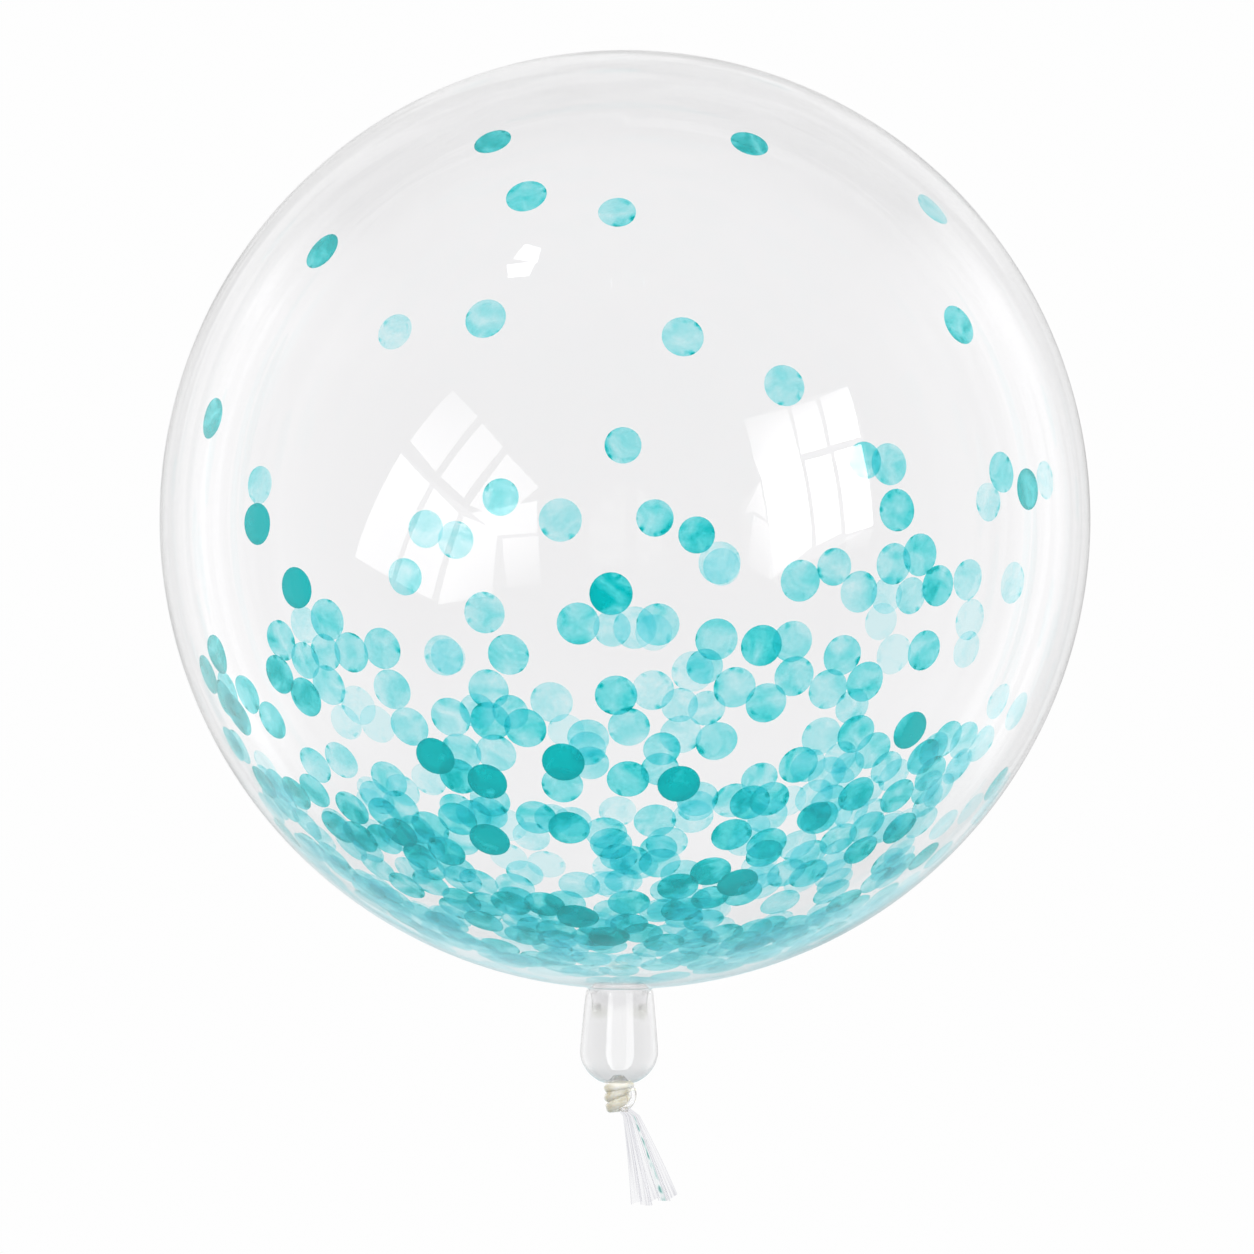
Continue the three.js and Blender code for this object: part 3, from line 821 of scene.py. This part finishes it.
def add_disc(direction, layer, tone, rng, vertices, faces, tones, rims):
    """One disc, a little curled: a middle point and two rings on each of its sides."""
    side = direction.cross(Vector((0.3, 0.2, 1))).normalized()
    up = direction.cross(side)
    lift = DISC_WALL_GAP + layer * DISC_STACK + rng.uniform(0, DISC_LIFT)
    curl = rng.uniform(-DISC_BACK_CURL, DISC_CURL)
    curl_turn = rng.uniform(0, math.pi)
    radius = DISC_RADIUS * rng.uniform(0.985, 1.015)
    start = len(vertices)

    def place(share, turn, inner):
        x = share * radius * math.cos(turn)
        y = share * radius * math.sin(turn)
        bend = curl * share * share * math.cos(2 * (turn - curl_turn))
        out = (direction * BALL_RADIUS + side * x + up * y).normalized()
        wall = 1 / math.sqrt(
            (out.x ** 2 + out.z ** 2) / BALL_RADIUS ** 2 + out.y ** 2 / BALL_HALF ** 2
        )
        depth = FILM + lift + bend + (DISC_THICKNESS if inner else 0)
        point = out * (wall - depth) + CENTRE
        point.z = max(point.z, depth)
        vertices.append(point)
        tones.append(tone)
        rims.append(share)

    for inner in (False, True):
        place(0, 0, inner)
        for share in (DISC_MIDDLE_RING, 1):
            for k in range(DISC_SIDES):
                place(share, 2 * math.pi * k / DISC_SIDES, inner)
    half = 1 + 2 * DISC_SIDES
    for k in range(DISC_SIDES):
        m = (k + 1) % DISC_SIDES
        near, edge = start + 1, start + 1 + DISC_SIDES
        faces.append([start, near + k, near + m])
        faces.append([near + k, edge + k, edge + m, near + m])
        faces.append([start + half, near + half + m, near + half + k])
        faces.append([near + half + k, near + half + m, edge + half + m, edge + half + k])
        faces.append([edge + k, edge + half + k, edge + half + m, edge + m])


def find_node(tree, kind):
    return next(node for node in tree.nodes if node.type == kind)


def new_material(name):
    """A material, its node tree and its main shader."""
    material = bpy.data.materials.new(name)
    material.use_nodes = True
    tree = material.node_tree
    return material, tree, find_node(tree, "BSDF_PRINCIPLED")


def join(tree, value, socket):
    """Gives a socket a plain value or another node's output."""
    if isinstance(value, bpy.types.NodeSocket):
        tree.links.new(value, socket)
    else:
        socket.default_value = value


def set_plain(node, values):
    """Plain values for a node's sockets, by the sockets' names."""
    for name, value in values.items():
        node.inputs[name].default_value = value


def value_node(tree, name):
    """The numbers that add_mesh gave to the piece's vertices."""
    node = tree.nodes.new("ShaderNodeAttribute")
    node.attribute_name = name
    return node.outputs["Fac"]


def noise_node(tree, scale, detail, stretch=(1, 1, 1), distortion=0.0, over="Object"):
    """Noise over the object's own coordinates, in metres, unless others are named."""
    place = tree.nodes.new("ShaderNodeTexCoord")
    mapping = tree.nodes.new("ShaderNodeMapping")
    texture = tree.nodes.new("ShaderNodeTexNoise")
    set_plain(mapping, {"Scale": stretch})
    set_plain(texture, {"Scale": scale, "Detail": detail, "Distortion": distortion})
    tree.links.new(place.outputs[over], mapping.inputs["Vector"])
    tree.links.new(mapping.outputs["Vector"], texture.inputs["Vector"])
    return texture.outputs["Fac"]


def math_node(tree, operation, first, second):
    node = tree.nodes.new("ShaderNodeMath")
    node.operation = operation
    join(tree, first, node.inputs[0])
    join(tree, second, node.inputs[1])
    return node.outputs["Value"]


def scaled_noise(tree, texture, amount):
    """Noise that wanders about zero."""
    return math_node(tree, "MULTIPLY", math_node(tree, "SUBTRACT", texture, 0.5), amount)


def ramp_node(tree, share, stops):
    """Colours or greys along a share, each with the place where it is reached."""
    ramp = tree.nodes.new("ShaderNodeValToRGB")
    elements = ramp.color_ramp.elements
    while len(elements) < len(stops):
        elements.new(0.5)
    for element, (position, tone) in zip(elements, stops):
        element.position = position
        element.color = (*tone, 1) if isinstance(tone, tuple) else (tone, tone, tone, 1)
    tree.links.new(share, ramp.inputs["Fac"])
    return ramp.outputs["Color"]


def mixed_colour(tree, blend, share, first, second):
    """Output of a colour mix. Share and colours are plain values or outputs."""
    mix = tree.nodes.new("ShaderNodeMix")
    mix.data_type = "RGBA"
    mix.blend_type = blend
    colours = [socket for socket in mix.inputs if socket.type == "RGBA"]
    join(tree, share, mix.inputs["Factor"])
    join(tree, first, colours[0])
    join(tree, second, colours[1])
    return next(socket for socket in mix.outputs if socket.type == "RGBA")


def mixed_with_clear(tree, shader, clear_part, through=(1, 1, 1, 1)):
    """Lets a share of the light straight past the shader, in the colour given."""
    clear = tree.nodes.new("ShaderNodeBsdfTransparent")
    mix = tree.nodes.new("ShaderNodeMixShader")
    join(tree, through, clear.inputs["Color"])
    join(tree, clear_part, mix.inputs["Fac"])
    tree.links.new(shader.outputs[0], mix.inputs[1])
    tree.links.new(clear.outputs["BSDF"], mix.inputs[2])
    output = find_node(tree, "OUTPUT_MATERIAL")
    tree.links.new(mix.outputs["Shader"], output.inputs["Surface"])


def bump_from(tree, texture, shader, strength, distance):
    bump = tree.nodes.new("ShaderNodeBump")
    set_plain(bump, {"Strength": strength, "Distance": distance})
    tree.links.new(texture, bump.inputs["Height"])
    tree.links.new(bump.outputs["Normal"], shader.inputs["Normal"])


def clear_film(name, tint, bump_scale, bump_height, stretch=(1, 1, 1)):
    """Clear glossy film that shows less where its fade is higher. The bump is the slight unevenness
    of stretched film."""
    material, tree, shader = new_material(name)
    set_plain(shader, {"Base Color": (*tint, 1), "Roughness": 0})
    set_plain(shader, {"Transmission Weight": 1, "IOR": FILM_IOR})
    bump_from(tree, noise_node(tree, bump_scale, 2.0, stretch), shader, 1.0, bump_height)
    mixed_with_clear(tree, shader, value_node(tree, "fade"))
    return material


def shaded_gathered_film():
    """The neck's clear film, with painted shade: greyer and a little yellow where it is gathered at the
    stem.
    It isn't mirrored in the ball's outside."""
    material = clear_film("neck_clear_film", NECK_TINT, 60, 0.05 * MM, (1, 0.35, 1))
    tree = material.node_tree
    # Painted shade of the gathered folds, greyer and a little yellow
    stops = [(0.0, NECK_TINT), (0.25, (0.88, 0.883, 0.887)), (1.0, (0.84, 0.80, 0.7))]
    tint = ramp_node(tree, value_node(tree, "gathered"), stops)
    tree.links.new(tint, find_node(tree, "BSDF_PRINCIPLED").inputs["Base Color"])
    path = tree.nodes.new("ShaderNodeLightPath")
    mirrored = math_node(tree, "GREATER_THAN", path.outputs["Glossy Depth"], 0.5)
    outside = math_node(tree, "LESS_THAN", path.outputs["Transmission Depth"], 0.5)
    let_past = math_node(tree, "MULTIPLY", mirrored, outside)
    fade = math_node(tree, "MAXIMUM", value_node(tree, "fade"), let_past)
    tree.links.new(fade, find_node(tree, "MIX_SHADER").inputs["Fac"])
    return material


def confetti_tissue():
    """Thin teal tissue that lets light through, with deeper damp patches, some of them at its edge."""
    material, tree, shader = new_material("confetti_tissue")
    tone = value_node(tree, "tone")
    damp = scaled_noise(tree, noise_node(tree, 70, 2.0, distortion=0.7), 1.6)
    more_if_deep = math_node(tree, "MINIMUM", math_node(tree, "ADD", tone, 0.35), 0.8)
    damp = math_node(tree, "MULTIPLY", damp, more_if_deep)
    fine = scaled_noise(tree, noise_node(tree, 500, 2.0), 0.22)
    edge = ramp_node(tree, value_node(tree, "rim"), [(0.66, 0), (1, 1)])
    spots = ramp_node(tree, noise_node(tree, 170, 1.0), [(0.6, 0), (0.76, 1)])
    nicks = math_node(tree, "MULTIPLY", math_node(tree, "MULTIPLY", spots, edge), 0.8)
    depth = tone
    for marks in (damp, fine, nicks):
        depth = math_node(tree, "ADD", depth, marks)
    through = ramp_node(
        tree,
        depth,
        [
            (0.0, (0.88, 0.985, 0.995)),
            (0.15, (0.79, 0.963, 0.98)),
            (0.35, (0.67, 0.932, 0.952)),
            (0.5, (0.568, 0.908, 0.93)),
            (0.7, (0.414, 0.868, 0.888)),
            (0.85, (0.27, 0.845, 0.86)),
            (1.0, (0.0, 0.785, 0.79)),
        ],
    )
    stops = [(0.35, 0.98), (0.5, 0.96), (0.7, 0.9), (0.85, 0.74), (1.0, 0.63)]
    clear_part = ramp_node(tree, depth, stops)
    set_plain(shader, {"Base Color": (0.002, 0.47, 0.48, 1), "Roughness": 0.7})
    set_plain(shader, {"Specular IOR Level": 0.1})
    mixed_with_clear(tree, shader, clear_part, through)
    return material


def tail_film_material():
    """Thin film with painted shade, greyer at its creases and edges, and a painted teal glint along one
    strip.
    """
    material, tree, shader = new_material("tail_film")
    # The line value is painted shade: grey at the strips' edges, creases and gathered top
    line = value_node(tree, "line")
    fine = scaled_noise(tree, noise_node(tree, 900, 2.0, (1, 0.12, 1)), 0.2)
    crease = math_node(tree, "ADD", line, math_node(tree, "MULTIPLY", fine, line))
    grey = ramp_node(tree, crease, [(0.0, (0.97, 0.97, 0.975)), (1.0, (0.8, 0.8, 0.825))])
    # Painted teal glint, multiplied into the light let through
    stops = [(0.0, 1), (0.4, (0.74, 0.87, 0.85)), (1.0, (0.42, 0.66, 0.63))]
    teal = ramp_node(tree, value_node(tree, "stain"), stops)
    set_plain(shader, {"Base Color": (0.6, 0.6, 0.63, 1), "Roughness": 0.15})
    mixed_with_clear(tree, shader, 0.965, mixed_colour(tree, "MULTIPLY", 1.0, grey, teal))
    return material


def milky_film():
    """Film that crumpling has made a little cloudy."""
    material, tree, shader = new_material("milky_film")
    cover = value_node(tree, "cover")
    mottle = scaled_noise(tree, noise_node(tree, 260, 2.0), 0.9)
    cloud = math_node(tree, "ADD", cover, math_node(tree, "MULTIPLY", mottle, cover))
    through = ramp_node(tree, cloud, [(0.0, 1), (1.0, (0.92, 0.922, 0.905))])
    set_plain(shader, {"Base Color": (0.7, 0.7, 0.68, 1), "Roughness": 0.5})
    mixed_with_clear(tree, shader, 0.985, through)
    return material


def ivory_rubber():
    material, tree, shader = new_material("ivory_rubber")
    stops = [(0.3, (0.72, 0.66, 0.51)), (0.5, (0.83, 0.80, 0.69)), (0.7, (0.91, 0.89, 0.82))]
    mottle = ramp_node(tree, noise_node(tree, 320, 3.0), stops)
    tree.links.new(mottle, shader.inputs["Base Color"])
    set_plain(shader, {"Roughness": 0.28, "Subsurface Weight": 0.5})
    set_plain(shader, {"Subsurface Scale": 1.5 * MM, "Subsurface Radius": (1, 0.9, 0.7)})
    bump_from(tree, noise_node(tree, 900, 2.0), shader, 0.5, 0.15 * MM)
    return material


def white_glow(name, strength):
    """A material that only glows, its node tree and its glow."""
    material = bpy.data.materials.new(name)
    material.use_nodes = True
    tree = material.node_tree
    tree.nodes.clear()
    emission = tree.nodes.new("ShaderNodeEmission")
    set_plain(emission, {"Color": (1, 1, 1, 1), "Strength": strength})
    output = tree.nodes.new("ShaderNodeOutputMaterial")
    tree.links.new(emission.outputs["Emission"], output.inputs["Surface"])
    return material, tree, emission


def pale_floor():
    """An evenly bright floor that fades into the pale surroundings. What mirrors looks past it."""
    material, tree, emission = white_glow("pale_floor", PALE)
    place = tree.nodes.new("ShaderNodeTexCoord")
    length = tree.nodes.new("ShaderNodeVectorMath")
    length.operation = "LENGTH"
    tree.links.new(place.outputs["Object"], length.inputs[0])
    fade = tree.nodes.new("ShaderNodeMapRange")
    set_plain(fade, {"From Min": FLOOR_SOLID, "From Max": FLOOR_END})
    tree.links.new(length.outputs["Value"], fade.inputs["Value"])
    path = tree.nodes.new("ShaderNodeLightPath")
    mirrored = math_node(tree, "GREATER_THAN", path.outputs["Glossy Depth"], 0.5)
    unseen = math_node(tree, "MAXIMUM", fade.outputs["Result"], mirrored)
    mixed_with_clear(tree, emission, unseen)
    size = FLOOR_SIZE
    corners = [(-size, -size, 0), (size, -size, 0), (size, size, 0), (-size, size, 0)]
    floor = add_mesh("floor", corners, [[0, 1, 2, 3]], material)
    floor.visible_glossy = False


def surroundings():
    """Pale where it is looked at directly. Where a surface mirrors it, it is a room that is dim
    overhead and bright low down, most of all to the left and right."""
    world = bpy.data.worlds.new("room")
    bpy.context.scene.world = world
    world.use_nodes = True
    tree = world.node_tree
    tree.nodes.clear()
    place = tree.nodes.new("ShaderNodeTexCoord")
    split = tree.nodes.new("ShaderNodeSeparateXYZ")
    tree.links.new(place.outputs["Generated"], split.inputs["Vector"])
    x, y, z = split.outputs
    level_part = math_node(tree, "SUBTRACT", 1.0, math_node(tree, "MULTIPLY", z, z))
    aside = math_node(tree, "DIVIDE", math_node(tree, "MULTIPLY", x, x), level_part)
    path = tree.nodes.new("ShaderNodeLightPath")
    room = room_light(tree, z, aside)
    near_wall = math_node(tree, "LESS_THAN", path.outputs["Transmission Depth"], LAST_NEAR_PASS)
    neckward = math_node(tree, "MULTIPLY", math_node(tree, "LESS_THAN", y, 0.0), near_wall)
    lengthways = ramp_node(tree, aside, [(0.2, 1), (0.8, 0)])
    neckward = math_node(tree, "MULTIPLY", neckward, lengthways)
    room = mixed_colour(tree, "MULTIPLY", neckward, room, NECK_SIDE_TINT)
    bounces = math_node(tree, "ADD", path.outputs["Glossy Depth"], path.outputs["Diffuse Depth"])
    bounced = math_node(tree, "GREATER_THAN", bounces, 0.5)
    brighter = mixed_colour(tree, "MULTIPLY", 1.0, room, (ROOM, ROOM, ROOM, 1))
    seen = mixed_colour(tree, "MIX", bounced, (PALE, PALE, PALE, 1), brighter)
    background = tree.nodes.new("ShaderNodeBackground")
    output = tree.nodes.new("ShaderNodeOutputWorld")
    tree.links.new(seen, background.inputs["Color"])
    tree.links.new(background.outputs["Background"], output.inputs["Surface"])


def room_light(tree, z, aside):
    """The room's light by height and by how far to the left or right, with slight streaks."""
    height = math_node(tree, "ADD", math_node(tree, "MULTIPLY", z, 0.5), 0.5)
    side_light = ramp_node(tree, height, SIDE_LIGHT)
    end_light = ramp_node(tree, height, END_LIGHT)
    side_share = ramp_node(tree, aside, [(0.45, 0), (0.75, 1)])
    room = mixed_colour(tree, "MIX", side_share, end_light, side_light)
    streaks = noise_node(tree, 5, 3, (1.0, 0.12, 2.2), over="Generated")
    streaks = ramp_node(tree, streaks, [(0.42, 0.84), (0.52, 1)])
    return mixed_colour(tree, "MULTIPLY", 1.0, room, streaks)


def mirrored_away(px, py):
    """Direction of a ray from a pixel after the ball's near wall mirrors it, and where it does."""
    ray = pixel_ray(px, py)[1]
    hit = ball_hit(px, py, False)
    return ray - 2 * ray.dot(hit) * hit, hit * BALL_RADIUS


def mirror_target(px, py, plane_point, plane_normal):
    """Where a ray from a pixel, mirrored by the ball's near wall, meets a plane."""
    away, start = mirrored_away(px, py)
    reach = (plane_point - start).dot(plane_normal) / away.dot(plane_normal)
    return start + away * reach + CENTRE


def pane_glow(name, brightness):
    """Light of a window pane that only the near wall of the ball mirrors."""
    material, tree, emission = white_glow(name, brightness)
    path = tree.nodes.new("ShaderNodeLightPath")
    near = math_node(tree, "LESS_THAN", path.outputs["Transmission Depth"], LAST_NEAR_PASS)
    light = math_node(tree, "MULTIPLY", value_node(tree, "share"), near)
    light = math_node(tree, "MULTIPLY", light, brightness)
    tree.links.new(light, emission.inputs["Strength"])
    let_light_past(tree, emission)
    return material


def let_light_past(tree, emission):
    """Adds the glow to what lies behind it."""
    clear = tree.nodes.new("ShaderNodeBsdfTransparent")
    both = tree.nodes.new("ShaderNodeAddShader")
    tree.links.new(emission.outputs["Emission"], both.inputs[0])
    tree.links.new(clear.outputs["BSDF"], both.inputs[1])
    output = find_node(tree, "OUTPUT_MATERIAL")
    tree.links.new(both.outputs["Shader"], output.inputs["Surface"])


def window(name, panes, brightness, ball):
    """Bright panes in front of the ball, that light nothing and show only as its reflections."""
    corners = [corner for pane in panes for corner in pane]
    middle = [sum(corner[k] for corner in corners) / len(corners) for k in (0, 1)]
    normal = mirrored_away(*middle)[0].normalized()
    centre = normal * WINDOW_DISTANCE
    vertices, faces, shares = [], [], []
    for pane in panes:
        places = [mirror_target(px, py, centre, normal) for px, py, _ in pane]
        faces += sheet_faces(len(vertices), PANE_STEPS, PANE_STEPS)
        for u, v in sheet_shares(PANE_STEPS, PANE_STEPS):
            weights = ((1 - u) * (1 - v), u * (1 - v), u * v, (1 - u) * v)
            vertices.append(sum((p * w for p, w in zip(places, weights)), Vector()))
            shares.append(sum(corner[2] * w for corner, w in zip(pane, weights)))
    piece = add_mesh(name, vertices, faces, pane_glow(name, brightness), share=shares)
    show_only_mirrored(piece, "ball_light_receivers", [ball])


def show_only_mirrored(light, name, pieces):
    """A light that shows only where these pieces mirror it."""
    receivers = bpy.data.collections.get(name)
    if receivers is None:
        receivers = bpy.data.collections.new(name)
        for piece in pieces:
            receivers.objects.link(piece)
    light.light_linking.receiver_collection = receivers
    light.visible_camera = False
    light.visible_diffuse = False
    light.visible_shadow = False
    light.visible_transmission = False


def neck_softbox(neck_pieces):
    """A wide soft light over the neck, brighter at both sides, that only the neck mirrors."""
    z = CENTRE.z + NECK_LIGHT_HEIGHT
    near, far = NECK_LIGHT_NEAR, NECK_LIGHT_FAR
    for number, (left, right, brightness) in enumerate(NECK_LIGHT_STRIPS):
        name = f"neck_softbox_{number}"
        material, tree, emission = white_glow(name, brightness)
        let_light_past(tree, emission)
        corners = [(left, near, z), (right, near, z), (right, far, z), (left, far, z)]
        strip = add_mesh(name, corners, [[0, 1, 2, 3]], material)
        show_only_mirrored(strip, "neck_light_receivers", neck_pieces)


def area_light(name, place, power):
    data = bpy.data.lights.new(name, "AREA")
    data.shape = "SQUARE"
    data.size = LAMP_SIZE
    data.energy = power
    lamp = bpy.data.objects.new(name, data)
    bpy.context.scene.collection.objects.link(lamp)
    lamp.location = place
    lamp.rotation_euler = (CENTRE - Vector(place)).to_track_quat("-Z", "Y").to_euler()
    lamp.visible_camera = False
    lamp.visible_glossy = False
    lamp.visible_transmission = False


def camera():
    data = bpy.data.cameras.new("camera")
    data.sensor_width = SENSOR
    data.lens = SENSOR * CAMERA_RISE / FRAME_WIDTH
    data.clip_end = SIGHT
    eye = bpy.data.objects.new("camera", data)
    eye.location = CENTRE + Vector((FRAME_X, FRAME_Y, CAMERA_RISE))
    bpy.context.scene.collection.objects.link(eye)
    bpy.context.scene.camera = eye


def light_paths():
    """Enough passes for the stacked confetti and film."""
    cycles = bpy.context.scene.cycles
    cycles.max_bounces = FILM_PASSES
    cycles.transmission_bounces = FILM_PASSES
    cycles.transparent_max_bounces = CLEAR_PASSES
    bpy.context.scene.view_settings.view_transform = "Standard"


camera()
light_paths()
surroundings()
pale_floor()
ball = ball_film(clear_film("ball_clear_film", BALL_TINT, 9, 0.12 * MM))
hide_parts("ball")
for name, panes, brightness in WINDOWS:
    window(name, panes, brightness, ball)
for name, place, power in LAMPS:
    area_light(name, place, power)
neck_clear = shaded_gathered_film()
neck = neck_film(neck_clear)
tail = tail_film(tail_film_material())
loop = film_loop(neck_clear)
seams = mouth_seams(milky_film())
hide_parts("neck_sleeve_and_tail")
neck_softbox([neck, loop])
cord = tie_cord(ivory_rubber())
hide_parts("tie_cord")
discs = confetti(confetti_tissue())
for piece in (ball, neck, tail, loop, seams, discs):
    piece.visible_shadow = False
for piece in (seams, discs):
    piece.visible_glossy = False
for piece in (ball, neck, tail, loop, seams, cord, discs):
    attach(piece, "root")
